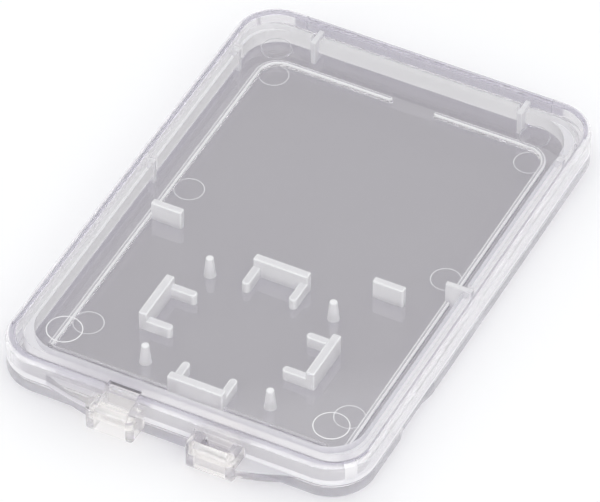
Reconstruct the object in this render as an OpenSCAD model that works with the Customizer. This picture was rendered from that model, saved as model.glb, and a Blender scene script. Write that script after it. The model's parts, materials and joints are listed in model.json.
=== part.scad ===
// Flat hinged case for memory cards, moulded in two clear halves.
// The origin is the middle of the underside of the whole outline, +Z is up, the hinge is on the -Y side.

/* [Body] */
// Width of the body across the hinge side
body_w = 36; // [30:0.5:45]
// Length of the body, without the hinge loops
body_l = 52; // [43:0.5:64]
// Height of the closed case
body_h = 3.85; // [3.4:0.05:4.8]
// Plan radius of the four corners
corner_r = 4.2; // [3.5:0.1:5.2]
// Rounding of the outer edge, top and bottom
edge_r = 0.45; // [0.3:0.05:0.55]
// Height of the parting line above the underside
part_z = 1.62; // [1.4:0.02:1.9]
// Open seam between the rim of the base and the skirt of the lid
seam_gap = 0.06; // [0.04:0.01:0.1]

/* [Walls] */
// Thickness of the floor
floor_t = 0.65; // [0.55:0.05:0.8]
// Thickness of the lid's plate
plate_t = 0.55; // [0.45:0.05:0.7]
// Thickness of the base's rim at the sides and at the far end
rim_t = 1.1; // [0.95:0.05:1.3]
// Thickness of the tongue that stands on the rim inside the skirt
tongue_t = 0.45; // [0.4:0.05:0.5]
// Height of the tongue above the rim
tongue_h = 0.68; // [0.5:0.02:0.8]
// Clearance between the tongue and both skirts
tongue_gap = 0.07; // [0.05:0.01:0.1]
// Thickness of both front walls, where the hinge is
front_t = 1.1; // [1.05:0.05:1.3]
// Thickness of the lid's inner skirt
inner_skirt_t = 0.63; // [0.5:0.01:0.75]
// Distance from the far and front outer faces to the inner face of the inner skirt
inner_skirt_y = 2.6; // [2.5:0.05:2.9]
// Distance from the rim's top up to the lower edge of the inner skirt
inner_skirt_rise = 0.18; // [0.14:0.02:0.3]
// How much rounder the inner skirt's inner corners are than those of an even wall
inner_round = 1; // [0:0.05:1.2]

/* [Card supports] */
// Length of the side ribs, from the rim in to the large card's pocket
side_rib_l = 0.7; // [-3.1:0.05:2.9]
// Height of the small frame bead above the floor
bead_h = 0.5; // [0.35:0.05:0.6]
// Width of the frame bead
bead_t = 0.5; // [0.4:0.05:0.6]
// Distance from the pocket's side to the outer face of the frame bead
bead_inset = 1.4; // [1:0.1:1.8]
// Distance from the far end to the outer face of the frame bead
bead_far = 4.2; // [3.9:0.1:5]
// Distance from the hinge end to the outer face of the frame bead
bead_near = 5; // [4.2:0.1:6]
// Gap in the far run of the bead
bead_gap = 4.75; // [3:0.25:7]
// Plan radius of the bead's two far corners
bead_r = 2.4; // [1.6:0.1:3]
// Distance from the middle of the small card's place to the hinge end
nest_y = 13.5; // [11:0.1:15.5]
// Half of the outer size of the bracket square
nest_half = 8.75; // [7:0.05:9]
// Length of each bracket's wall
bracket_l = 5.5; // [4.6:0.1:6.6]
// Thickness of each bracket's wall
bracket_t = 0.85; // [0.7:0.05:1]
// Height of each bracket's wall
bracket_h = 2; // [1.6:0.05:2.3]
// Reach of the bracket arms, from the wall's outer face
arm_reach = 3.25; // [2.7:0.05:3.9]
// Width of each bracket arm
arm_w = 0.8; // [0.65:0.05:0.95]
// Height of each bracket arm
arm_h = 1.15; // [0.95:0.05:1.35]
// Half of the distance between the pegs
peg_half = 6.2; // [5.2:0.05:6.4]
// Height of the pegs
peg_h = 2.1; // [1.7:0.05:2.4]
// Diameter of a peg at the floor
peg_d = 1.13; // [0.95:0.01:1.35]
// Diameter of a peg near its tip
peg_tip_d = 0.74; // [0.6:0.01:0.85]
// Length of the two stop blocks
block_l = 3.1; // [2.6:0.1:3.7]
// Thickness of the two stop blocks
block_t = 0.75; // [0.6:0.05:0.9]
// Height of the two stop blocks
block_h = 2; // [1.6:0.05:2.3]
// Distance from the hinge end to the near face of the stop blocks
block_y = 23.66; // [23.2:0.02:26]
// Distance from the middle to the middle of the inboard stop block
block_x = 9.6; // [8:0.1:11]
// Thickness of the ribs around the large card
rib_t = 0.5; // [0.4:0.05:0.6]
// Distance from the middle to each far rib
far_rib_x = 10.6; // [8.5:0.1:12.7]
// Length of the far ribs, from the far rim in to the large card's pocket
far_rib_l = 1.94; // [1.49:0.05:2.29]
// Distance from the far end to the far side ribs
side_rib_far = 6.85; // [5.7:0.05:8]
// Distance from the far faces of the stop blocks to the left near rib
side_rib_near = 3.79; // [1.59:0.1:6.59]
// Distance from the far faces of the stop blocks to the key rib at the cut corner
key_rib_y = 1.59; // [0.09:0.1:3.59]
// Air between the tops of the ribs and the lid
rib_gap = 0.1; // [0.06:0.02:0.2]
// Clearance of the slots that pass the ribs
slot_gap = 0.2; // [0.15:0.05:0.3]

/* [Finger grips] */
// Half of the width of the thumb recess at the far end
thumb_half = 12.6; // [9:0.1:13.4]
// Depth of the thumb recess
thumb_depth = 0.25; // [0.15:0.05:0.3]
// Distance from the top to the upper edge of the thumb recess
thumb_top = 0.5; // [0.5:0.05:0.8]
// Distance from the hinge end to the near end of the side notches
notch_y = 9.2; // [8:0.1:11]
// Length of the side notches
notch_l = 6.8; // [5.5:0.1:8]
// Length of each slanted end of a side notch
notch_slope = 1.5; // [1:0.1:1.8]
// Depth of the side notches
notch_depth = 0.45; // [0.3:0.05:0.5]

/* [Hinge] */
// Distance from the middle of the case to the middle of each loop
loop_x = 4.92; // [4.2:0.02:6]
// Outer width of a loop
loop_w = 4.75; // [4:0.05:5.7]
// Reach of the loops in front of the body
loop_reach = 2.2; // [2.1:0.05:2.4]
// Width of each loop arm
loop_arm = 0.8; // [0.7:0.05:0.95]
// Thickness of the front bar of a loop
loop_bar = 0.6; // [0.5:0.05:0.65]
// Half of the height of a loop
loop_half_h = 1.4; // [1.3:0.02:1.45]
// Rounding of the bar's edge that passes the other half
loop_round = 0.55; // [0.45:0.05:0.6]
// Distance from the body's front face to the hinge axis
axis_out = 1.1; // [1.05:0.01:1.15]
// Radius of the hinge pins
pin_r = 0.33; // [0.28:0.01:0.36]
// Running clearance between a pin and its socket
pin_gap = 0.07; // [0.04:0.01:0.09]
// Depth of the socket in a loop arm
socket_depth = 0.5; // [0.4:0.05:0.6]
// Side clearance between a hook and the loop around it
hook_gap = 0.1; // [0.06:0.02:0.15]
// Height of the upright plate above the forward arm
hook_lip = 0.25; // [0.15:0.01:0.3]
// Thickness of the hook's upright plate
hook_t = 0.5; // [0.45:0.01:0.5]
// Thickness of the hook's forward arm
hook_arm = 0.5; // [0.45:0.01:0.55]
// Height of the hook's forward arm above the hinge axis
hook_rise = 0.86; // [0.82:0.01:0.9]
// Reach of the gusset beside a loop, measured along the front
ramp_l = 4.9; // [3:0.1:6]
// Distance from a loop's top down to the top of its gusset
ramp_drop = 0.2; // [0.1:0.05:0.4]
// Reach of the gusset in front of the body
ramp_out = 1.65; // [1.2:0.05:1.9]
// Clearance around the parts of the hinge that turn
swing_gap = 0.07; // [0.05:0.01:0.1]

/* [Hidden] */
eps = 0.01;
fine = 64;
// The body's middle lies behind the middle of the outline by half of the loops' reach.
shift_y = loop_reach / 2;
near_y = -body_l / 2;
far_y = body_l / 2;
lid_z = part_z + seam_gap;
ceiling_z = body_h - plate_t;
rim_in_x = body_w / 2 - rim_t;
rim_in_far = far_y - rim_t;
rim_in_near = near_y + front_t;
tongue_x = rim_in_x + tongue_t;
tongue_far = rim_in_far + tongue_t;
skirt_x = tongue_x + tongue_gap;
skirt_far = tongue_far + tongue_gap;
inner_out_x = rim_in_x - tongue_gap;
inner_in_x = inner_out_x - inner_skirt_t;
inner_in_y = far_y - inner_skirt_y;
inner_out_y = inner_in_y + inner_skirt_t;
inner_z = part_z + inner_skirt_rise;
rib_top = ceiling_z - rib_gap;
nest_mid = near_y + nest_y;
block_near = near_y + block_y;
pocket_near = block_near + block_t;
far_rib_tip = rim_in_far - far_rib_l;
rib_far_y = far_y - side_rib_far;
rib_near_y = pocket_near + side_rib_near;
key_y = pocket_near + key_rib_y;
pocket_x = rim_in_x - side_rib_l;
slot_w = rib_t + 2 * slot_gap;
slot_reach = 3;
bead_x = pocket_x - bead_inset;
bead_far_y = far_y - bead_far;
bead_near_y = near_y + bead_near;
axis_y = near_y - axis_out;
axis_z = body_h / 2;
bar_out = loop_reach - axis_out;
loop_in_w = loop_w - 2 * loop_arm;
hook_w = loop_in_w - 2 * hook_gap;
// Farthest point of the rounded bar edge from the axis.
loop_sweep = norm([bar_out - loop_round, loop_half_h - loop_round]) + loop_round;
groove_r = loop_sweep + swing_gap;
hook_front = axis_out + front_t - hook_t;
hook_back = axis_out + front_t;
hook_arm_top = hook_rise + hook_arm;
hook_top = hook_arm_top + hook_lip;
// The cut-back in the other half clears the upright's corner as it swings.
hook_sweep = norm([hook_back, hook_top]);
cut_back = sqrt(pow(hook_sweep, 2) - pow(axis_z - max(floor_t, plate_t), 2)) + swing_gap;

// Slab with round corners, made of plain blocks and cylinders, between two heights.
module round_slab(half_x, y0, y1, r, z0, z1) {
    translate([-half_x, y0 + r, z0]) cube([2 * half_x, y1 - y0 - 2 * r, z1 - z0]);
    translate([-half_x + r, y0, z0]) cube([2 * (half_x - r), y1 - y0, z1 - z0]);
    for (sx = [-1, 1]) {
        translate([sx * (half_x - r), y0 + r, z0]) cylinder(r = r, h = z1 - z0, $fn = fine);
        translate([sx * (half_x - r), y1 - r, z0]) cylinder(r = r, h = z1 - z0, $fn = fine);
    }
}

// Outer shape of one half, its lower edge rounded, from z = 0 to the given height.
module outer_shape(h) {
    hull() {
        for (sx = [-1, 1], sy = [-1, 1]) {
            translate([sx * (body_w / 2 - corner_r), sy * (body_l / 2 - corner_r), edge_r]) {
                rotate_extrude($fn = 48) translate([corner_r - edge_r, 0]) circle(r = edge_r, $fn = 24);
                cylinder(r = corner_r, h = h - edge_r, $fn = 48);
            }
        }
    }
}

// Turns a piece of the base over into the matching piece of the lid.
module turned_over() {
    translate([0, 0, body_h]) rotate([0, 180, 0]) children();
}

// Extrudes an outline, drawn as distance from the axis to the rear and height, across the hinge.
module across(mid_x, width) {
    translate([mid_x - width / 2, axis_y, axis_z]) {
        rotate([90, 0, 90]) linear_extrude(height = width) children();
    }
}

// Round room that the other half's loop turns in.
module loop_groove(mid_x) {
    width = loop_w + 2 * hook_gap;
    translate([mid_x - width / 2, axis_y, axis_z]) {
        rotate([0, 90, 0]) cylinder(r = groove_r, h = width, $fn = fine);
    }
}

// Room that the other half's hook stands in, open through the whole height.
module hook_room(mid_x) {
    translate([mid_x - loop_in_w / 2, near_y - 1, -1]) {
        cube([loop_in_w, cut_back - axis_out + 1, body_h + 2]);
    }
}

// Side profile of a loop arm: square above the seam, round where it passes the other half.
module arm_outline(seam) {
    intersection() {
        translate([-bar_out, -loop_half_h]) {
            square([bar_out + axis_out - swing_gap, loop_half_h + seam + eps]);
        }
        union() {
            circle(r = loop_sweep, $fn = fine);
            translate([-bar_out, -loop_half_h + loop_round]) square([bar_out, loop_half_h]);
        }
        union() {
            translate([-bar_out + loop_round, -loop_half_h]) square([bar_out + axis_out, 2 * loop_half_h]);
            translate([-bar_out, -loop_half_h + loop_round]) square([bar_out, 2 * loop_half_h]);
            translate([-bar_out + loop_round, -loop_half_h + loop_round]) circle(r = loop_round, $fn = fine);
        }
    }
    translate([-bar_out, seam]) square([bar_out + axis_out, loop_half_h - seam]);
}

// Side profile of the front bar, with the lower outer edge round.
module bar_outline() {
    translate([-bar_out, -loop_half_h + loop_round]) square([loop_bar, 2 * loop_half_h - loop_round]);
    intersection() {
        translate([-bar_out, -loop_half_h]) square([loop_bar, loop_round + eps]);
        union() {
            translate([-bar_out + loop_round, -loop_half_h + loop_round]) circle(r = loop_round, $fn = fine);
            translate([-bar_out + loop_round, -loop_half_h]) square([loop_bar, loop_round + eps]);
        }
    }
}

// Plan outline of the gusset beside a loop, as distance along the front and reach.
module ramp_outline() {
    polygon([[0, 0], [0, ramp_out], [ramp_l * 0.43, ramp_out * 0.67], [ramp_l * 0.76, ramp_out * 0.3],
             [ramp_l, 0]]);
}

// Hinge loop as it sits on the lid: it hangs from the front wall above the seam.
module loop_on_lid(mid_x, side, seam, ramp_top) {
    difference() {
        union() {
            for (s = [-1, 1]) {
                across(mid_x + s * (loop_w - loop_arm) / 2, loop_arm) arm_outline(seam);
            }
            across(mid_x, loop_in_w) bar_outline();
        }
        for (s = [-1, 1]) {
            translate([mid_x + s * loop_in_w / 2, axis_y, axis_z]) {
                rotate([0, s * 90, 0]) cylinder(r = pin_r + pin_gap, h = socket_depth, $fn = fine);
            }
        }
    }
    translate([mid_x + side * loop_w / 2, near_y, axis_z + seam]) {
        scale([side, -1, 1]) linear_extrude(height = ramp_top - seam) ramp_outline();
    }
}

// Hinge hook as it stands on the base: an upright plate, a forward arm, a drop to the axis and the pin.
module hook_on_base(mid_x, root) {
    across(mid_x, hook_w) {
        union() {
            translate([hook_front, root]) square([hook_t, hook_top - root]);
            translate([-pin_r, hook_rise]) square([hook_front + pin_r + eps, hook_arm]);
            translate([-pin_r, 0]) square([2 * pin_r, hook_rise + eps]);
            circle(r = pin_r, $fn = fine);
        }
    }
    pin_l = loop_in_w + 2 * (socket_depth - hook_gap);
    translate([mid_x - pin_l / 2, axis_y, axis_z]) {
        rotate([0, 90, 0]) cylinder(r = pin_r, h = pin_l, $fn = fine);
    }
}

// Finger notch in the rim, on the right side, from the underside to the seam.
module side_notch() {
    y0 = near_y + notch_y;
    translate([body_w / 2, 0, -1]) linear_extrude(height = part_z + 2) {
        polygon([[eps, y0], [-notch_depth, y0 + notch_slope], [-notch_depth, y0 + notch_l - notch_slope],
                 [eps, y0 + notch_l], [1, y0 + notch_l], [1, y0]]);
    }
}

module base_tray() {
    color("lavender") difference() {
        outer_shape(part_z);
        round_slab(rim_in_x, rim_in_near, rim_in_far, corner_r - rim_t, floor_t, part_z + 1);
        side_notch();
        mirror([1, 0, 0]) side_notch();
        loop_groove(-loop_x);
        hook_room(loop_x);
    }
}

module locating_tongue() {
    color("thistle") difference() {
        round_slab(tongue_x, near_y + corner_r, tongue_far, corner_r - rim_t + tongue_t,
                   part_z, part_z + tongue_h);
        round_slab(rim_in_x, near_y + corner_r - rim_t, rim_in_far, corner_r - rim_t, part_z - 1, part_z + 2);
        translate([-body_w, near_y, 0]) cube([2 * body_w, 2 * corner_r, body_h]);
    }
}

module frame_bead() {
    top = floor_t + bead_h;
    color("thistle") difference() {
        round_slab(bead_x, bead_near_y - bead_r, bead_far_y, bead_r, floor_t, top);
        round_slab(bead_x - bead_t, bead_near_y - bead_r, bead_far_y - bead_t, bead_r - bead_t,
                   floor_t - 1, top + 1);
        translate([-body_w, bead_near_y - body_l, 0]) cube([2 * body_w, body_l, body_h]);
        translate([-bead_gap / 2 + bead_t, bead_far_y - 2 * bead_t, 0]) cube([bead_gap, 3 * bead_t, body_h]);
        translate([bead_x - 2 * bead_t, key_y - rib_t / 2, 0]) cube([3 * bead_t, rib_t, body_h]);
    }
    // Thin front run of the frame, a little short of the right side and broken by the near bracket.
    color("thistle") difference() {
        translate([-bead_x + bead_t, bead_near_y, floor_t]) {
            cube([2 * bead_x - bead_inset - 2 * bead_t, bead_t / 2, bead_h / 2]);
        }
        translate([-bracket_l / 2, nest_mid - nest_half, 0]) cube([bracket_l, arm_reach, body_h]);
    }
}

// Rib on the floor, from the far rim in to the pocket.
module far_rib(x) {
    color("white") translate([x - rib_t / 2, far_rib_tip, floor_t]) {
        cube([rib_t, rim_in_far - far_rib_tip, rib_top - floor_t]);
    }
}

// Rib on the floor, from the side rim in to the given distance from the middle.
module side_rib(side, y, tip) {
    color("white") mirror([side < 0 ? 1 : 0, 0, 0]) translate([tip, y - rib_t / 2, floor_t]) {
        cube([rim_in_x - tip, rib_t, rib_top - floor_t]);
    }
}

module stop_block(x) {
    color("white") translate([x - block_l / 2, block_near, floor_t]) cube([block_l, block_t, block_h]);
}

// U bracket: a wall with two lower arms that point to the middle of the nest, here from the right.
module bracket(angle) {
    color("white") translate([0, nest_mid, floor_t]) rotate([0, 0, angle]) {
        translate([nest_half - bracket_t, -bracket_l / 2, 0]) cube([bracket_t, bracket_l, bracket_h]);
        for (s = [-1, 1]) {
            translate([nest_half - arm_reach + arm_w / 2, s * (bracket_l - arm_w) / 2, 0]) {
                translate([0, -arm_w / 2, 0]) cube([arm_reach - arm_w / 2 - eps, arm_w, arm_h]);
                cylinder(d = arm_w, h = arm_h, $fn = 32);
            }
        }
    }
}

module card_pegs() {
    tip_h = peg_h * 0.08;
    color("white") for (sx = [-1, 1], sy = [-1, 1]) {
        translate([sx * peg_half, nest_mid + sy * peg_half, floor_t]) {
            cylinder(d1 = peg_d, d2 = peg_tip_d, h = peg_h - tip_h, $fn = 32);
            translate([0, 0, peg_h - tip_h]) {
                cylinder(d1 = peg_tip_d, d2 = peg_tip_d * 0.6, h = tip_h, $fn = 32);
            }
        }
    }
}

module lid_shell() {
    color("aliceblue") difference() {
        turned_over() outer_shape(body_h - lid_z);
        round_slab(skirt_x, near_y + front_t - seam_gap, skirt_far, corner_r - rim_t + tongue_t,
                   lid_z - 1, ceiling_z);
        translate([-thumb_half, far_y - thumb_depth, lid_z - 1]) {
            cube([2 * thumb_half, 1, body_h - thumb_top - lid_z + 1]);
        }
        loop_groove(loop_x);
        hook_room(-loop_x);
    }
}

// Slot in the inner skirt that passes a side rib.
module rib_slot(side, y) {
    translate([side * rim_in_x - slot_reach / 2, y - slot_w / 2, 0]) cube([slot_reach, slot_w, body_h]);
}

// Inner skirt all round, with the slots that pass the ribs of the base.
module inner_skirt() {
    difference() {
        round_slab(inner_out_x, -inner_out_y, inner_out_y, corner_r - rim_t, inner_z, ceiling_z);
        round_slab(inner_in_x, -inner_in_y, inner_in_y, corner_r - rim_t - inner_skirt_t + inner_round,
                   inner_z - 1, ceiling_z + 1);
        for (s = [-1, 1]) {
            translate([s * far_rib_x - slot_w / 2, inner_in_y - 1, 0]) cube([slot_w, slot_reach, body_h]);
            rib_slot(s, rib_far_y);
        }
        rib_slot(-1, rib_near_y);
        rib_slot(1, key_y);
    }
}

// Everything that lies beyond the slots of the left near rib and the key rib.
module beyond_slots() {
    translate([-body_w, max(rib_near_y, key_y), 0]) cube([2 * body_w, body_l, body_h]);
    translate([-body_w, rib_near_y, 0]) cube([body_w, body_l, body_h]);
    translate([0, key_y, 0]) cube([body_w, body_l, body_h]);
}

// Length of the inner skirt that runs round the near end, from slot to slot.
module lid_skirt_near() {
    color("lavender") difference() {
        inner_skirt();
        beyond_slots();
    }
}

// The five lengths of the inner skirt round the far end.
module lid_skirt_far() {
    color("lavender") intersection() {
        inner_skirt();
        beyond_slots();
    }
}

translate([0, shift_y, 0]) base_tray();
translate([0, shift_y, 0]) locating_tongue();
translate([0, shift_y, 0]) frame_bead();
translate([0, shift_y, 0]) far_rib(-far_rib_x);  // far_rib_left
translate([0, shift_y, 0]) far_rib(far_rib_x);  // far_rib_right
union() {  // side_rib_left_near
    translate([0, shift_y, 0]) side_rib(-1, rib_near_y, pocket_x);
}
union() {  // side_rib_left_far
    translate([0, shift_y, 0]) side_rib(-1, rib_far_y, pocket_x);
}
union() {  // side_rib_right_far
    translate([0, shift_y, 0]) side_rib(1, rib_far_y, pocket_x);
}
translate([0, shift_y, 0]) side_rib(1, key_y, bead_x - bead_t);  // key_rib
union() {  // stop_block_left
    translate([0, shift_y, 0]) stop_block(-bead_x + bead_t + block_l / 2);
}
translate([0, shift_y, 0]) stop_block(block_x);  // stop_block_right
translate([0, shift_y, 0]) bracket(180);  // bracket_left
translate([0, shift_y, 0]) bracket(0);  // bracket_right
translate([0, shift_y, 0]) bracket(270);  // bracket_near
translate([0, shift_y, 0]) bracket(90);  // bracket_far
translate([0, shift_y, 0]) card_pegs();
union() {  // base_hinge_loop
    color("lavender") translate([0, shift_y, 0]) turned_over() {
        loop_on_lid(-loop_x, -1, axis_z - part_z, loop_half_h - ramp_drop);
    }
}
union() {  // base_hinge_hook
    color("lavender") translate([0, shift_y, 0]) hook_on_base(-loop_x, part_z - axis_z);
}
translate([0, shift_y, 0]) lid_shell();
translate([0, shift_y, 0]) lid_skirt_near();
translate([0, shift_y, 0]) lid_skirt_far();
union() {  // lid_hinge_loop
    color("aliceblue") translate([0, shift_y, 0]) {
        loop_on_lid(-loop_x, -1, lid_z - axis_z, loop_half_h - ramp_drop);
    }
}
union() {  // lid_hinge_hook
    color("aliceblue") translate([0, shift_y, 0]) turned_over() hook_on_base(-loop_x, axis_z - lid_z);
}
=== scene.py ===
"""Flat clear case for memory cards: the two moulded halves, the floor, the light and the camera."""

import json
import math

import bmesh
import bpy
from mathutils import Matrix, Vector


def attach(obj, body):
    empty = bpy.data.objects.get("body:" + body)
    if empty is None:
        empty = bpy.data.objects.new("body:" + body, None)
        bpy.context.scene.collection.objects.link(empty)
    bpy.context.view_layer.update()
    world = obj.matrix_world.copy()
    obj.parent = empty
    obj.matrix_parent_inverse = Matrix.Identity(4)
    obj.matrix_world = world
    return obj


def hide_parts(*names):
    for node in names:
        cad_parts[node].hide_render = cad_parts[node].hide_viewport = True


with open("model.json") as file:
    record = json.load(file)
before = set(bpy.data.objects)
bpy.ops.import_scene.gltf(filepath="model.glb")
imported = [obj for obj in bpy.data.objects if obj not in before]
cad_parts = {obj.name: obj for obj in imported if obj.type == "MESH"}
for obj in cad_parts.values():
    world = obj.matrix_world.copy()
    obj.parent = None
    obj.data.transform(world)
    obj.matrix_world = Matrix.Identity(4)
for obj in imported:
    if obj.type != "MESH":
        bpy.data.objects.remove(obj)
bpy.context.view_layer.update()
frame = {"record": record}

# Lengths are in millimetres, from the middle of the body's underside, until a piece is finished.
MM = 0.001
SHIFT_Y = 1.1

BODY_X, BODY_Y, BODY_H = 18.0, 26.0, 3.85
CORNER_R, EDGE_R = 4.2, 0.45
PART_Z, LID_Z = 1.62, 1.68
FLOOR_Z, CEILING_Z = 0.65, 3.30
RIM_X, RIM_Y, RIM_R = 16.9, 24.9, 3.1
TONGUE_X, TONGUE_FAR, TONGUE_R, TONGUE_Z, TONGUE_NEAR = 17.35, 25.35, 3.55, 2.30, -17.6
SKIRT_X, SKIRT_FAR, SKIRT_NEAR = 17.42, 25.42, -24.96
INNER_OUT_X, INNER_OUT_Y, INNER_IN_X, INNER_IN_Y, INNER_Z = 16.83, 24.03, 16.20, 23.40, 1.80
INNER_OUT_R, INNER_IN_R, SLOT_W = 3.1, 3.47, 0.9
RIB_T, RIB_TOP = 0.5, 3.2
SIDE_RIBS, KEY_Y, FAR_RIB_X, FAR_RIB_Y = (2.2, 19.15), 0, 10.6, 22.96
NEST_Y, NEST_HALF, PEG_HALF = -12.5, 8.75, 6.2
WALL_T, WALL_HALF, WALL_H, ARM_Y, ARM_HALF_W, ARM_H, ARM_REACH = 0.85, 2.75, 2.0, 2.35, 0.4, 1.15, 3.25 - 0.02
PEG_H, SUPPORT_ROUND = 2.1, 0.16
BLOCK_X, BLOCK_HALF, BLOCK_NEAR, BLOCK_FAR, BLOCK_TOP = (-12.75, 9.6), 1.55, -2.34, -1.59, 2.65
BEAD_X, BEAD_NEAR, BEAD_FAR, BEAD_R, BEAD_T, BEAD_H = 14.8, -21.0, 21.8, 2.4, 0.5, 0.5
MARK_R, NEAR_MARK_R, MARK_DEPTH = 1.43, 1.65, 0.035
BASE_MARKS = ((-13.1, 19.9), (13.1, 19.9), (-13, 2.7), (13, 2.7), (-13, -16.7), (13, -16.7))
LID_MARK_X, LID_MARK_Y = 13.2, 20.7
RECESS_HALF, RECESS_DEPTH, RECESS_DROP = 12.6, 0.25, 0.5
# How far an added shape reaches into the one that carries it.
SUNK = 0.1
AXIS_Y, AXIS_Z = -27.1, 1.925
LOOP_X, LOOP_W, LOOP_ARM, LOOP_IN = 4.92, 4.75, 0.8, 3.15
LOOP_BAR, LOOP_HALF_H, LOOP_ROUND, BAR_OUT = 0.6, 1.4, 0.55, 1.1
GROOVE_R, HOOK_W, PIN_R, SOCKET_R, SOCKET_D = 1.632, 2.95, 0.33, 0.40, 0.5
ROOM_BACK = -24.62
CORNER_STEPS = 16


def arc(cx, cy, r, a0, a1, steps):
    """Points on an arc, both ends included, angles in degrees."""
    turns = [math.radians(a0 + (a1 - a0) * k / steps) for k in range(steps + 1)]
    return [(cx + r * math.cos(t), cy + r * math.sin(t)) for t in turns]


def slab_outline(half_x, y0, y1, r, steps=CORNER_STEPS):
    """Plan outline of a rectangle with round corners, counter-clockwise."""
    points = arc(half_x - r, y1 - r, r, 0, 90, steps)
    points += arc(-half_x + r, y1 - r, r, 90, 180, steps)
    points += arc(-half_x + r, y0 + r, r, 180, 270, steps)
    points += arc(half_x - r, y0 + r, r, 270, 360, steps)
    return points


def stacked(rings):
    """Closed solid from rings of 3-D points that all have the same count, bottom first."""
    bm = bmesh.new()
    loops = [[bm.verts.new(p) for p in ring] for ring in rings]
    n = len(loops[0])
    for low, high in zip(loops, loops[1:]):
        for k in range(n):
            bm.faces.new((low[k], low[(k + 1) % n], high[(k + 1) % n], high[k]))
    bm.faces.new(list(reversed(loops[0])))
    bm.faces.new(loops[-1])
    bmesh.ops.recalc_face_normals(bm, faces=bm.faces)
    mesh = bpy.data.meshes.new("solid")
    bm.to_mesh(mesh)
    bm.free()
    return mesh


def slab(half_x, y0, y1, r, z0, z1, low=0.0, high=0.0, mid_x=0.0, steps=CORNER_STEPS):
    """Round-cornered slab. Positive low or high rounds that edge inwards by that radius."""
    levels = [(0.0, z0)] if low == 0 else [
        (low * (1 - math.sin(t)), z0 + low * (1 - math.cos(t)))
        for t in (math.radians(90 * k / 6) for k in range(7))]
    levels += [(0.0, z1)] if high == 0 else [
        (high * (1 - math.cos(t)), z1 - high * (1 - math.sin(t)))
        for t in (math.radians(90 * k / 6) for k in range(7))]
    rings = []
    for inset, z in levels:
        outline = slab_outline(half_x - inset, y0 + inset, y1 - inset, max(r - inset, 0.01), steps)
        rings.append([(mid_x + x, y, z) for x, y in outline])
    return stacked(rings)


def prism_x(profile, x0, x1):
    """Extrudes an outline of (y, z) points along the width."""
    return stacked([[(x, y, z) for y, z in profile] for x in (x0, x1)])


def prism_z(outline, z0, z1):
    return stacked([[(x, y, z) for x, y in outline] for z in (z0, z1)])


def rod_x(y, z, r, x0, x1, steps=48):
    return prism_x(arc(y, z, r, 0, 360 - 360 / steps, steps - 1), x0, x1)


def lathe(x, y, profile, steps=32):
    """Upright turned piece from (radius, height) points."""
    rings = [[(x + r * math.cos(2 * math.pi * k / steps), y + r * math.sin(2 * math.pi * k / steps), z)
              for k in range(steps)] for r, z in profile]
    return stacked(rings)


def turned(mesh, angle, x, y):
    """Turns a mesh about an upright line."""
    move = Matrix.Translation((x, y, 0)) @ Matrix.Rotation(math.radians(angle), 4, "Z")
    mesh.transform(move @ Matrix.Translation((-x, -y, 0)))
    return mesh


def flipped(mesh):
    """Turns a mesh of one half over into the matching shape of the other half."""
    mesh.transform(Matrix.Translation((0, 0, BODY_H)) @ Matrix.Rotation(math.pi, 4, "Y"))
    return mesh


def combined(body, steps):
    """Adds ("UNION"), cuts ("DIFFERENCE") or keeps the overlap with ("INTERSECT") each mesh in turn."""
    target = bpy.data.objects.new("target", body)
    bpy.context.scene.collection.objects.link(target)
    for operation, mesh in steps:
        tool = bpy.data.objects.new("tool", mesh)
        bpy.context.scene.collection.objects.link(tool)
        modifier = target.modifiers.new("combine", "BOOLEAN")
        modifier.solver = "MANIFOLD"
        modifier.operation = operation
        modifier.object = tool
        result = bpy.data.meshes.new_from_object(target.evaluated_get(bpy.context.evaluated_depsgraph_get()))
        target.modifiers.clear()
        target.data = result
        bpy.data.objects.remove(tool)
    mesh = target.data
    bpy.data.objects.remove(target)
    return mesh


def is_hinge(point, face):
    """Whether a face belongs to a loop, a hook or a gusset in front of the body."""
    return point.y < -BODY_Y - 0.02


def is_inner_floor(point, face):
    return abs(point.z - FLOOR_Z) < 0.01 and face.normal.z > 0.9


def is_plate(point, face):
    """Whether a face lies flat in the lid's top or underside, the discs of the ejector marks among them."""
    return abs(face.normal.z) > 0.9 and min(abs(point.z - BODY_H), abs(point.z - CEILING_Z)) < 0.01


def is_mark(point, face):
    """Whether a face lies in the groove of an ejector mark, on the floor or under the lid's near half."""
    inside = abs(point.x) < 15.2 and abs(point.y) < 22.6
    under_lid = point.y < 0 and 0.003 < point.z - CEILING_Z < 0.06
    return inside and (-0.06 < point.z - FLOOR_Z < -0.003 or under_lid)


def is_bead_edge(point, face):
    """Whether a face belongs to the rounded edges of the frame bead's crown."""
    inside = abs(point.x) < 14.9 and -20.9 < point.y < 21.9
    return inside and 0.33 < point.z - FLOOR_Z < 0.499 and 0.2 < face.normal.z < 0.97


def is_skirt_foot(point, face):
    """Whether a face belongs to the lower edge of the lid's inner skirt."""
    within = abs(point.x) < INNER_OUT_X + 0.02 and abs(point.y) < INNER_OUT_Y + 0.02
    return within and point.z < INNER_Z + 0.14


def is_support_edge(point, face):
    """Whether a face is a rounded edge of a bracket or a stop block, or the tip of a peg."""
    peg = math.hypot(abs(point.x) - PEG_HALF, abs(point.y - NEST_Y) - PEG_HALF) < 0.7
    edge = point.z > FLOOR_Z + 1.9 if peg else max(abs(c) for c in face.normal) < 0.97
    return is_support(point, face) and edge


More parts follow.
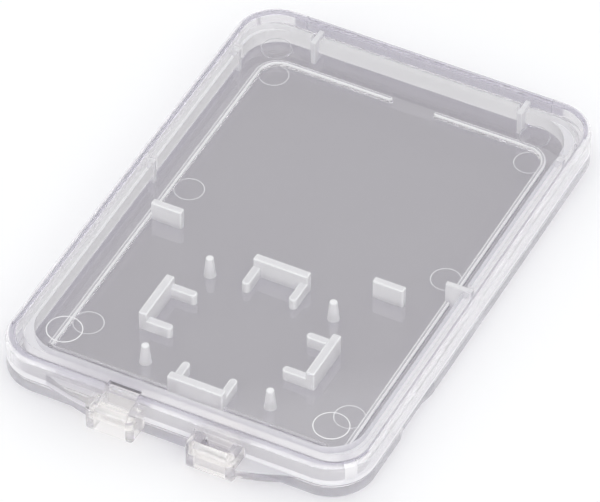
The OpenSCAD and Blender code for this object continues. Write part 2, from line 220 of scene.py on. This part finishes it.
def is_rib(point, face):
    """Whether a face belongs to one of the six thin ribs that hold a large card."""
    x, y, z = point
    near_y = SIDE_RIBS[0] if x < 0 else KEY_Y
    far = abs(abs(x) - FAR_RIB_X) < RIB_T / 2 + 0.01 and y > FAR_RIB_Y - 0.06
    side = abs(x) > 16.15 and min(abs(y - SIDE_RIBS[1]), abs(y - near_y)) < RIB_T / 2 + 0.01
    key = x > 14.25 and abs(y - KEY_Y) < RIB_T / 2 + 0.01
    inside = abs(x) < RIM_X - 0.01 and y < RIM_Y - 0.01
    return (far or side or key) and inside and FLOOR_Z + 0.02 < z < RIB_TOP + 0.01


def is_skirt_wall(point, face):
    """Whether a face is one of the upright walls of the lid's inner skirt."""
    in_ring = abs(point.x) > INNER_IN_X - 1.2 or abs(point.y) > INNER_IN_Y - 1.2
    within = abs(point.x) < INNER_OUT_X + 0.02 and abs(point.y) < INNER_OUT_Y + 0.02
    return in_ring and within and abs(face.normal.z) < 0.5 and INNER_Z < point.z < CEILING_Z


def is_recess(point, face):
    """Whether a face belongs to the finger recess in the lid's far side."""
    return (point.y > BODY_Y - RECESS_DEPTH - 0.05 and abs(point.x) < RECESS_HALF + 0.01
            and point.z < BODY_H - RECESS_DROP + 0.05)


def is_support(point, face):
    """Whether a face lies on a bracket, a peg or a stop block above the floor."""
    x, y, z = point
    if z < FLOOR_Z + 0.02 or z > FLOOR_Z + 2.15:
        return False
    nest = max(abs(x), abs(y - NEST_Y)) < NEST_HALF + 0.02
    block = -2.36 < y < -1.57 and (abs(x + 12.75) < 1.57 or abs(x - 9.6) < 1.57)
    return block or (nest and not (y < -20.7 and z < FLOOR_Z + 0.26 and abs(x) > 2.8))


def finished(name, mesh, body, material, nodes, zones=()):
    """Moves a mesh into the frame and makes it the shown piece for its nodes."""
    bm = bmesh.new()
    bm.from_mesh(mesh)
    bmesh.ops.remove_doubles(bm, verts=bm.verts, dist=0.0004)
    bmesh.ops.dissolve_limit(bm, angle_limit=math.radians(0.5), verts=bm.verts, edges=bm.edges)
    bm.to_mesh(mesh)
    bm.free()
    mesh.transform(Matrix.Scale(MM, 4) @ Matrix.Translation((0, SHIFT_Y, 0)))
    mesh.materials.clear()
    mesh.materials.append(material)
    for zone, other in zones:
        mesh.materials.append(other)
        for face in mesh.polygons:
            if face.material_index == 0 and zone(face.center / MM - Vector((0, SHIFT_Y, 0)), face):
                face.material_index = len(mesh.materials) - 1
    mesh.shade_smooth()
    mesh.set_sharp_from_angle(angle=math.radians(33))
    # A large flat face keeps its own normal, so that nothing bends the light across it.
    for face in mesh.polygons:
        if max(abs(c) for c in face.normal) > 0.9999:
            face.use_smooth = False
    piece = bpy.data.objects.new(name, mesh)
    bpy.context.scene.collection.objects.link(piece)
    weighted = piece.modifiers.new("even_normals", "WEIGHTED_NORMAL")
    weighted.keep_sharp = True
    weighted.weight = 90
    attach(piece, body)
    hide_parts(*nodes)
    return piece


# Pieces of the hinge

def loop_meshes(mid_x, seam, side, ramp_top):
    """Loop as it hangs from the lid: two arms, a front bar and the gusset on its outer side."""
    front, low, top = AXIS_Y - BAR_OUT, AXIS_Z - LOOP_HALF_H, AXIS_Z + LOOP_HALF_H
    corner = arc(front + LOOP_ROUND, low + LOOP_ROUND, LOOP_ROUND, 180, 270, 10)
    sweep = math.hypot(BAR_OUT - LOOP_ROUND, LOOP_HALF_H - LOOP_ROUND) + LOOP_ROUND
    a0 = math.degrees(math.atan2(-LOOP_HALF_H, math.sqrt(sweep ** 2 - LOOP_HALF_H ** 2)))
    a1 = math.degrees(math.asin(seam / sweep))
    back = arc(AXIS_Y, AXIS_Z, sweep, a0, a1, 16)
    lip = [(front + 0.15, top), (front, top - 0.15)]
    arm = corner + back + [(-BODY_Y + 0.6, AXIS_Z + seam), (-BODY_Y + 0.6, top - 0.2),
                           (-BODY_Y, top - 0.2), (-BODY_Y - 0.2, top)] + lip
    bar = corner + [(front + LOOP_BAR, low), (front + LOOP_BAR, top)] + lip
    parts = []
    for s in (-1, 1):
        x = mid_x + s * (LOOP_W - LOOP_ARM) / 2
        parts.append(prism_x(arm, x - LOOP_ARM / 2, x + LOOP_ARM / 2))
    parts.append(prism_x(bar, mid_x - LOOP_IN / 2 - 0.05, mid_x + LOOP_IN / 2 + 0.05))
    edge = mid_x + side * (LOOP_W / 2 - 0.05)
    ramp = [(0, 0.4), (0, -1.65), (0.9, -1.45), (2.1, -1.1), (3.1, -0.7), (3.9, -0.38), (4.95, 0),
            (4.95, 0.4)]
    outline = [(edge + side * x, -BODY_Y + y) for x, y in ramp]
    loop = combined(parts[0], [("UNION", m) for m in parts[1:]])
    rounded = slab(LOOP_W / 2, front, front + 8, 0.5, low, top + 0.01, low=0.42, mid_x=mid_x, steps=10)
    parts = [combined(loop, [("INTERSECT", rounded)])]
    parts.append(prism_z(outline, AXIS_Z + seam, ramp_top))
    return parts


def socket_meshes(mid_x):
    return [rod_x(AXIS_Y, AXIS_Z, SOCKET_R, mid_x + s * LOOP_IN / 2 - (0.02 if s > 0 else SOCKET_D),
                  mid_x + s * LOOP_IN / 2 + (SOCKET_D if s > 0 else 0.02)) for s in (-1, 1)]


def hook_meshes(mid_x, root):
    """Hook as it stands on the base: upright plate, forward arm, drop to the axis and pin."""
    y_back, y_front, top = -24.9, -25.4, AXIS_Z + 1.61
    arm_low, arm_top = AXIS_Z + 0.86, AXIS_Z + 1.36
    drop_front, drop_back = AXIS_Y - PIN_R, AXIS_Y + PIN_R
    profile = [(y_back, root), (y_back, top - 0.12), (y_back - 0.12, top), (y_front + 0.1, top),
               (y_front - 0.05, arm_top + 0.05), (drop_front + 0.15, arm_top), (drop_front, arm_top - 0.15),
               (drop_front, AXIS_Z)]
    profile += arc(AXIS_Y, AXIS_Z, PIN_R, 180, 360, 16)[1:-1]
    profile += [(drop_back, AXIS_Z), (drop_back, arm_low - 0.12), (drop_back + 0.12, arm_low),
                (y_front, arm_low), (y_front, root)]
    profile.reverse()
    pin_half = LOOP_IN / 2 + SOCKET_D - 0.1
    return [prism_x(profile, mid_x - HOOK_W / 2, mid_x + HOOK_W / 2),
            rod_x(AXIS_Y, AXIS_Z, PIN_R - 0.002, mid_x - pin_half, mid_x + pin_half)]


def groove_mesh(mid_x):
    return rod_x(AXIS_Y, AXIS_Z, GROOVE_R, mid_x - LOOP_W / 2 - 0.1, mid_x + LOOP_W / 2 + 0.1, 72)


def room_mesh(mid_x):
    return slab(LOOP_IN / 2, -BODY_Y - 1, ROOM_BACK, 0.12, -1, BODY_H + 1, mid_x=mid_x, steps=3)


# Supports for the cards

def bracket_meshes(angle):
    """U bracket of the nest: a wall and two lower arms with round tips."""
    inner = NEST_HALF - WALL_T
    wall = slab(WALL_T / 2, -WALL_HALF, WALL_HALF, SUPPORT_ROUND, FLOOR_Z - SUNK, FLOOR_Z + WALL_H,
                high=SUPPORT_ROUND, mid_x=inner + WALL_T / 2, steps=4)
    wall.transform(Matrix.Translation((0, NEST_Y, 0)))
    parts = [turned(wall, angle, 0, NEST_Y)]
    for s in (-1, 1):
        mid = NEST_HALF - ARM_REACH / 2 - 0.02
        arm = slab(ARM_REACH / 2, -ARM_HALF_W, ARM_HALF_W, ARM_HALF_W - 0.01, FLOOR_Z - SUNK, FLOOR_Z + ARM_H,
                   high=SUPPORT_ROUND, mid_x=mid, steps=8)
        arm.transform(Matrix.Translation((0, NEST_Y + s * ARM_Y, 0)))
        parts.append(turned(arm, angle, 0, NEST_Y))
    return parts


def peg_mesh(x, y):
    top = FLOOR_Z + PEG_H
    return lathe(x, y, [(0.62, FLOOR_Z - SUNK), (0.60, FLOOR_Z), (0.55, FLOOR_Z + 0.08), (0.37, top - 0.17),
                        (0.34, top - 0.07), (0.25, top - 0.015), (0.1, top)])


def rib_mesh(x0, x1, y0, y1):
    mid_x, half_x = (x0 + x1) / 2, (x1 - x0) / 2
    return slab(half_x, y0, y1, 0.06, FLOOR_Z - SUNK, RIB_TOP, high=0.05, mid_x=mid_x, steps=3)


def bead_meshes():
    """Low frame bead on the floor, as closed lengths with a rounded crown."""
    z0, z1, t = FLOOR_Z - SUNK, FLOOR_Z + BEAD_H, BEAD_T
    crown = [(0, z0), (0, z1 - 0.16), (0.05, z1 - 0.05), (0.16, z1), (t - 0.16, z1), (t - 0.05, z1 - 0.05),
             (t, z1 - 0.16), (t, z0)]
    centre = (BEAD_X - BEAD_R, BEAD_FAR - BEAD_R)
    turns = [math.radians(90 * k / 12) for k in range(13)]
    parts = []
    for side, end_x in ((-1, -1.875), (1, 2.875)):
        rings = [[(side * (BEAD_X - d), BEAD_NEAR, z) for d, z in crown]]
        for a in turns:
            rings.append([(side * (centre[0] + (BEAD_R - d) * math.cos(a)),
                           centre[1] + (BEAD_R - d) * math.sin(a), z) for d, z in crown])
        rings.append([(end_x, BEAD_FAR - d, z) for d, z in crown])
        parts.append(stacked(rings))
        half = t / 2
        parts.append(lathe(end_x, BEAD_FAR - half, [(half - d, z) for d, z in crown[:4]], 24))
    for half_x, mid_x in ((5.78, -8.5), (5.08, 7.8)):
        parts.append(slab(half_x, BEAD_NEAR, BEAD_NEAR + 0.25, 0.05, z0, FLOOR_Z + 0.25, high=0.04,
                          mid_x=mid_x, steps=2))
    return parts


def ejector_mark(x, y, z, r, up):
    """Shallow round groove that an ejector pin leaves, as a ring to cut."""
    depth = MARK_DEPTH * up
    outer = sorted([(r + 0.05, z - 0.05 * up), (r, z + depth)], key=lambda p: p[1])
    inner = sorted([(r - 0.10, z - 0.10 * up), (r - 0.07, z + 2 * depth)], key=lambda p: p[1])
    return combined(lathe(x, y, outer, 48), [("DIFFERENCE", lathe(x, y, inner, 48))])


def notch_mesh(side):
    """Slanted finger notch in the base's side."""
    corners = ((1, -16.8), (0.01, -16.8), (-0.45, -15.3), (-0.45, -11.5), (0.01, -10.0), (1, -10.0))
    return prism_z([(side * (BODY_X + d), y) for d, y in corners], -1, PART_Z + 0.02)


def base_mesh():
    body = slab(BODY_X, -BODY_Y, BODY_Y, CORNER_R, 0, PART_Z, low=EDGE_R, high=0.05)
    tongue = slab(TONGUE_X, -RIM_Y, TONGUE_FAR, TONGUE_R, 1.2, TONGUE_Z, high=0.1)
    near = slab(20, -30, TONGUE_NEAR, 0.01, PART_Z - 0.02, 3, steps=1)
    tongue = combined(tongue, [("DIFFERENCE", near)])
    steps = [("UNION", tongue),
             ("DIFFERENCE", slab(RIM_X, -RIM_Y, RIM_Y, RIM_R, FLOOR_Z, 4, low=0.3)),
             ("DIFFERENCE", notch_mesh(-1)), ("DIFFERENCE", notch_mesh(1)),
             ("DIFFERENCE", groove_mesh(-LOOP_X)), ("DIFFERENCE", room_mesh(LOOP_X))]
    steps += [("DIFFERENCE", ejector_mark(x, y, FLOOR_Z, MARK_R, -1)) for x, y in BASE_MARKS]
    added = bead_meshes()
    added += [rib_mesh(x - RIB_T / 2, x + RIB_T / 2, FAR_RIB_Y, RIM_Y + 0.02)
              for x in (-FAR_RIB_X, FAR_RIB_X)]
    added += [rib_mesh(x0, x1, y - RIB_T / 2, y + RIB_T / 2)
              for x0, x1, y in ((-RIM_X - 0.02, -16.2, SIDE_RIBS[0]), (-RIM_X - 0.02, -16.2, SIDE_RIBS[1]),
                                (16.2, RIM_X + 0.02, SIDE_RIBS[1]), (14.3, RIM_X + 0.02, KEY_Y))]
    added += [slab(BLOCK_HALF, BLOCK_NEAR, BLOCK_FAR, 0.18, FLOOR_Z - SUNK, BLOCK_TOP, high=SUPPORT_ROUND,
                   mid_x=x, steps=4) for x in BLOCK_X]
    for angle in (0, 90, 180, 270):
        added += bracket_meshes(angle)
    added += [peg_mesh(sx * PEG_HALF, NEST_Y + sy * PEG_HALF) for sx in (-1, 1) for sy in (-1, 1)]
    added += [flipped(m) for m in loop_meshes(-LOOP_X, AXIS_Z - PART_Z, -1, 3.125)]
    added += hook_meshes(-LOOP_X, 1.0)
    steps += [("UNION", m) for m in added]
    steps += [("DIFFERENCE", flipped(m)) for m in socket_meshes(-LOOP_X)]
    return combined(body, steps)


def lid_mesh():
    body = flipped(slab(BODY_X, -BODY_Y, BODY_Y, CORNER_R, 0, BODY_H - LID_Z, low=EDGE_R, high=0.05))
    steps = [("DIFFERENCE", slab(SKIRT_X, SKIRT_NEAR, SKIRT_FAR, TONGUE_R, 0, CEILING_Z, high=0.2)),
             ("DIFFERENCE", slab(RECESS_HALF, BODY_Y - RECESS_DEPTH, BODY_Y + 1, 0.02, LID_Z - 1,
                                 BODY_H - RECESS_DROP, steps=2)),
             ("DIFFERENCE", groove_mesh(LOOP_X)), ("DIFFERENCE", room_mesh(-LOOP_X))]
    skirt = slab(INNER_OUT_X, -INNER_OUT_Y, INNER_OUT_Y, INNER_OUT_R, INNER_Z, CEILING_Z + 0.1, low=0.12)
    cuts = [slab(INNER_IN_X, -INNER_IN_Y, INNER_IN_Y, INNER_IN_R, INNER_Z - 1, CEILING_Z + 0.02)]
    cuts += [slab(SLOT_W / 2, 22.4, 25.4, 0.02, 1, CEILING_Z, mid_x=x, steps=1)
             for x in (-FAR_RIB_X, FAR_RIB_X)]
    cuts += [slab(1.5, y - SLOT_W / 2, y + SLOT_W / 2, 0.02, 1, CEILING_Z, mid_x=x, steps=1)
             for x, y in ((-RIM_X, SIDE_RIBS[0]), (-RIM_X, SIDE_RIBS[1]),
                          (RIM_X, SIDE_RIBS[1]), (RIM_X, KEY_Y))]
    skirt = combined(skirt, [("DIFFERENCE", m) for m in cuts])
    steps.append(("UNION", skirt))
    steps += [("DIFFERENCE", ejector_mark(x, y, CEILING_Z, r, 1))
              for y, r in ((LID_MARK_Y, MARK_R), (-LID_MARK_Y, NEAR_MARK_R))
              for x in (-LID_MARK_X, LID_MARK_X)]
    added = loop_meshes(-LOOP_X, LID_Z - AXIS_Z, -1, 3.125)
    added += [flipped(m) for m in hook_meshes(-LOOP_X, 1.0)]
    steps += [("UNION", m) for m in added]
    steps += [("DIFFERENCE", m) for m in socket_meshes(-LOOP_X)]
    return combined(body, steps)


def clear_plastic(name, tint, seed, clear, haze_to, let_by):
    """Clarified polypropylene with faint flow marks, haze and fine moulding texture.

    clear is the share of light that passes, the rest being milky. haze_to gives the least and the most
    roughness, and let_by the colour that passing light keeps at each surface.
    """
    material = bpy.data.materials.new(name)
    material.use_nodes = True
    nodes, links = material.node_tree.nodes, material.node_tree.links
    shader, output = nodes["Principled BSDF"], nodes["Material Output"]
    shader.inputs["IOR"].default_value = 1.49
    shader.inputs["Transmission Weight"].default_value = clear
    place = nodes.new("ShaderNodeTexCoord")
    flow = nodes.new("ShaderNodeTexNoise")
    flow.noise_dimensions = "4D"
    flow.inputs["W"].default_value = seed
    flow.inputs["Scale"].default_value = 90.0
    flow.inputs["Detail"].default_value = 3.0
    haze = nodes.new("ShaderNodeMapRange")
    haze.inputs["To Min"].default_value, haze.inputs["To Max"].default_value = haze_to
    colour = nodes.new("ShaderNodeMix")
    colour.data_type = "RGBA"
    colour.inputs["A"].default_value = (*tint, 1)
    colour.inputs["B"].default_value = (*[min(1, c * 1.015) for c in tint], 1)
    grain = nodes.new("ShaderNodeTexNoise")
    grain.inputs["Scale"].default_value = 1600.0
    bump = nodes.new("ShaderNodeBump")
    bump.inputs["Strength"].default_value = 0.02
    bump.inputs["Distance"].default_value = 0.00002
    links.new(place.outputs["Object"], flow.inputs["Vector"])
    links.new(place.outputs["Object"], grain.inputs["Vector"])
    links.new(flow.outputs["Fac"], haze.inputs["Value"])
    links.new(flow.outputs["Fac"], colour.inputs["Factor"])
    links.new(haze.outputs["Result"], shader.inputs["Roughness"])
    links.new(colour.outputs["Result"], shader.inputs["Base Color"])
    links.new(grain.outputs["Fac"], bump.inputs["Height"])
    links.new(bump.outputs["Normal"], shader.inputs["Normal"])
    # Light that passes the plastic still reaches the floor, weakened at each surface by let_by. A low let_by,
    # as on the inner floor, puts a painted shadow under the case.
    path = nodes.new("ShaderNodeLightPath")
    passing = nodes.new("ShaderNodeBsdfTransparent")
    passing.inputs["Color"].default_value = (*let_by, 1)
    mix = nodes.new("ShaderNodeMixShader")
    through = nodes.new("ShaderNodeMath")
    through.operation = "MAXIMUM"
    links.new(path.outputs["Is Shadow Ray"], through.inputs[0])
    links.new(path.outputs["Is Diffuse Ray"], through.inputs[1])
    links.new(through.outputs[0], mix.inputs["Fac"])
    links.new(shader.outputs["BSDF"], mix.inputs[1])
    links.new(passing.outputs["BSDF"], mix.inputs[2])
    links.new(mix.outputs["Shader"], output.inputs["Surface"])
    # The plastic takes up a little light along its length, so that its edges read darker.
    body = nodes.new("ShaderNodeVolumeAbsorption")
    body.inputs["Color"].default_value = (0.72, 0.70, 0.78, 1)
    body.inputs["Density"].default_value = 3.2
    links.new(body.outputs["Volume"], output.inputs["Volume"])
    return material


def coated(material, weight, ior):
    """Adds a clear, sharp gloss over a plastic."""
    shader = material.node_tree.nodes["Principled BSDF"]
    shader.inputs["Coat Weight"].default_value = weight
    shader.inputs["Coat IOR"].default_value = ior
    shader.inputs["Coat Roughness"].default_value = 0.02
    return material


base_plastic = clear_plastic("clear_base", (0.994, 0.985, 0.99), seed=1.0, clear=0.80,
                             haze_to=(0.10, 0.18), let_by=(0.985, 0.98, 0.985))
# The inner floor lets by only 0.70 of the light, far less than clear plastic does: a painted shadow on the
# studio floor under the case, which makes the inside read grey.
floor_shadow_plastic = clear_plastic("clear_base_floor_painted_shadow", (0.99, 0.98, 0.982), seed=1.0, clear=0.985,
                              haze_to=(0.01, 0.03), let_by=(0.70, 0.695, 0.68))
coated(floor_shadow_plastic, weight=1.0, ior=1.8)
milky_plastic = clear_plastic("clear_base_supports", (1.0, 1.0, 1.0), seed=3.0, clear=0.38,
                              haze_to=(0.22, 0.38), let_by=(0.995, 0.995, 0.995))
coated(milky_plastic, weight=0.6, ior=1.5)
# Nearly opaque white on the rounded edges of the supports, the bead's crown, the ejector mark grooves and the
# lid skirt's foot: painted highlight where these edges would catch the light.
highlight_white_plastic = clear_plastic("clear_white_painted_highlights", (1.0, 1.0, 1.0), seed=4.0, clear=0.08,
                             haze_to=(0.15, 0.30), let_by=(0.995, 0.995, 0.995))
hinge_plastic = clear_plastic("clear_hinge", (0.995, 0.983, 0.973), seed=5.0, clear=0.86,
                              haze_to=(0.06, 0.13), let_by=(0.98, 0.97, 0.96))
lid_plastic = clear_plastic("clear_lid", (0.992, 0.983, 0.992), seed=7.0, clear=0.80,
                            haze_to=(0.09, 0.16), let_by=(0.985, 0.98, 0.985))
plate_plastic = clear_plastic("clear_lid_plate", (0.995, 0.99, 0.995), seed=7.0, clear=0.985,
                              haze_to=(0.01, 0.04), let_by=(0.99, 0.99, 0.99))
# The inner skirt's upright walls are mostly milky white: painted reflection, a bright band that stands in for
# the overhead light the clear walls reflect.
skirt_reflection_plastic = clear_plastic("clear_lid_skirt_painted_reflection", (1.0, 0.996, 0.988), seed=7.0, clear=0.25,
                              haze_to=(0.06, 0.14), let_by=(0.995, 0.992, 0.988))
# Darker tint in the finger recess of the lid's far side: painted shade.
recess_shade_plastic = clear_plastic("clear_lid_recess_painted_shade", (0.95, 0.938, 0.957), seed=7.0, clear=0.88,
                               haze_to=(0.10, 0.20), let_by=(0.97, 0.965, 0.975))
record_bodies = frame["record"]["behaviour"]["bodies"]
finished("base_moulding", base_mesh(), "base", base_plastic, record_bodies["base"],
         [(is_support_edge, highlight_white_plastic), (is_support, milky_plastic), (is_rib, milky_plastic),
          (is_mark, highlight_white_plastic), (is_bead_edge, highlight_white_plastic), (is_inner_floor, floor_shadow_plastic),
          (is_hinge, hinge_plastic)])
finished("lid_moulding", lid_mesh(), "lid", lid_plastic, record_bodies["lid"],
         [(is_mark, highlight_white_plastic), (is_skirt_foot, highlight_white_plastic), (is_skirt_wall, skirt_reflection_plastic),
          (is_plate, plate_plastic), (is_recess, recess_shade_plastic), (is_hinge, hinge_plastic)])


def studio_floor():
    """Wide white floor that keeps the case's shadow."""
    mesh = prism_z([(-3000, -3000), (3000, -3000), (3000, 3000), (-3000, 3000)], -5, -0.02)
    mesh.transform(Matrix.Scale(MM, 4))
    material = bpy.data.materials.new("floor_white")
    material.use_nodes = True
    nodes, links = material.node_tree.nodes, material.node_tree.links
    shader = nodes["Principled BSDF"]
    shader.inputs["Base Color"].default_value = (0.92, 0.92, 0.92, 1)
    shader.inputs["Roughness"].default_value = 0.6
    shader.inputs["Specular IOR Level"].default_value = 0.1
    glow = nodes.new("ShaderNodeEmission")
    glow.inputs["Strength"].default_value = 0.08
    path = nodes.new("ShaderNodeLightPath")
    seen = nodes.new("ShaderNodeMath")
    seen.operation = "MAXIMUM"
    seen_all = nodes.new("ShaderNodeMath")
    seen_all.operation = "MAXIMUM"
    links.new(path.outputs["Is Camera Ray"], seen.inputs[0])
    links.new(path.outputs["Is Glossy Ray"], seen.inputs[1])
    links.new(seen.outputs[0], seen_all.inputs[0])
    links.new(path.outputs["Is Transmission Ray"], seen_all.inputs[1])
    dark = nodes.new("ShaderNodeEmission")
    dark.inputs["Strength"].default_value = 0.0
    choice = nodes.new("ShaderNodeMixShader")
    total = nodes.new("ShaderNodeAddShader")
    links.new(seen_all.outputs[0], choice.inputs["Fac"])
    links.new(dark.outputs[0], choice.inputs[1])
    links.new(glow.outputs[0], choice.inputs[2])
    links.new(shader.outputs["BSDF"], total.inputs[0])
    links.new(choice.outputs[0], total.inputs[1])
    links.new(total.outputs[0], nodes["Material Output"].inputs["Surface"])
    mesh.materials.append(material)
    floor = bpy.data.objects.new("studio_floor", mesh)
    bpy.context.scene.collection.objects.link(floor)


def area_light(name, place, aim, size, power):
    light = bpy.data.lights.new(name, "AREA")
    light.shape = "RECTANGLE"
    light.size, light.size_y = size
    light.energy = power
    lamp = bpy.data.objects.new(name, light)
    lamp.location = place
    lamp.rotation_euler = (Vector(aim) - Vector(place)).to_track_quat("-Z", "Y").to_euler()
    bpy.context.scene.collection.objects.link(lamp)


def studio_world():
    """Soft light from all round. Gloss and clear plastic show it white low down and dimmer overhead."""
    world = bpy.data.worlds.new("studio")
    bpy.context.scene.world = world
    world.use_nodes = True
    nodes, links = world.node_tree.nodes, world.node_tree.links
    ambient = nodes["Background"]
    ambient.inputs["Color"].default_value = (0.97, 0.98, 1.0, 1)
    ambient.inputs["Strength"].default_value = 0.55
    backdrop = nodes.new("ShaderNodeBackground")
    backdrop.inputs["Color"].default_value = (1, 1, 1, 1)
    backdrop.inputs["Strength"].default_value = 1.0
    path = nodes.new("ShaderNodeLightPath")
    seen = [nodes.new("ShaderNodeMath") for _ in range(2)]
    for node in seen:
        node.operation = "MAXIMUM"
    links.new(path.outputs["Is Camera Ray"], seen[0].inputs[0])
    links.new(path.outputs["Is Glossy Ray"], seen[0].inputs[1])
    links.new(seen[0].outputs[0], seen[1].inputs[0])
    links.new(path.outputs["Is Transmission Ray"], seen[1].inputs[1])
    # The backdrop stays white up to a little over the horizon. The ceiling above it is dimmer.
    place, axes = nodes.new("ShaderNodeTexCoord"), nodes.new("ShaderNodeSeparateXYZ")
    height = nodes.new("ShaderNodeMapRange")
    height.inputs["From Min"].default_value, height.inputs["From Max"].default_value = 0.15, 0.6
    height.inputs["To Min"].default_value, height.inputs["To Max"].default_value = 1.0, 0.35
    links.new(place.outputs["Generated"], axes.inputs["Vector"])
    links.new(axes.outputs["Z"], height.inputs["Value"])
    links.new(height.outputs["Result"], backdrop.inputs["Strength"])
    mix = nodes.new("ShaderNodeMixShader")
    links.new(seen[1].outputs[0], mix.inputs["Fac"])
    links.new(ambient.outputs[0], mix.inputs[1])
    links.new(backdrop.outputs[0], mix.inputs[2])
    links.new(mix.outputs[0], nodes["World Output"].inputs["Surface"])


def fitted_camera():
    """Camera at the photograph's viewing angle."""
    azimuth, elevation, roll = math.radians(26.7114), math.radians(44.0317), math.radians(0.1375)
    unit, distance, across, up = 0.0878 * MM, 6526.2, 3.2357, -8.9208
    back = Vector((math.sin(azimuth) * math.cos(elevation), -math.cos(azimuth) * math.cos(elevation),
                   math.sin(elevation)))
    right0 = Vector((math.cos(azimuth), math.sin(azimuth), 0))
    up0 = back.cross(right0)
    right = math.cos(roll) * right0 + math.sin(roll) * up0
    top = -math.sin(roll) * right0 + math.cos(roll) * up0
    place = Vector((0, SHIFT_Y * MM, 0)) + (distance * back - across * right - up * top) * unit
    data = bpy.data.cameras.new("camera")
    data.sensor_fit = "HORIZONTAL"
    data.sensor_width = 36.0
    data.lens = 36.0 * 6348.0 / 600.0
    data.clip_start = 0.01
    data.clip_end = 20.0
    camera = bpy.data.objects.new("camera", data)
    axes = Matrix((right, top, back)).transposed().to_4x4()
    camera.matrix_world = Matrix.Translation(place) @ axes
    bpy.context.scene.collection.objects.link(camera)
    bpy.context.scene.camera = camera


studio_floor()
studio_world()
area_light("overhead", (-0.08, 0.10, 0.8), (0, 0, 0), (1.1, 1.1), 0.85)
area_light("left_strip", (-0.55, 0.25, 0.30), (0, 0, 0), (1.0, 0.4), 1.2)
area_light("far_strip", (0.10, 0.62, 0.34), (0, 0, 0), (1.0, 0.4), 0.9)
area_light("right_strip", (0.58, -0.05, 0.32), (0, 0, 0), (1.0, 0.4), 1.0)
area_light("front_fill", (0.15, -0.62, 0.36), (0, 0, 0), (1.5, 0.7), 3.4)
fitted_camera()
bpy.context.scene.view_settings.view_transform = "Standard"
# Light crosses up to a dozen surfaces where the two rims overlap.
paths = bpy.context.scene.cycles
paths.max_bounces = 24
paths.transmission_bounces = 24
paths.glossy_bounces = 16
paths.transparent_max_bounces = 48
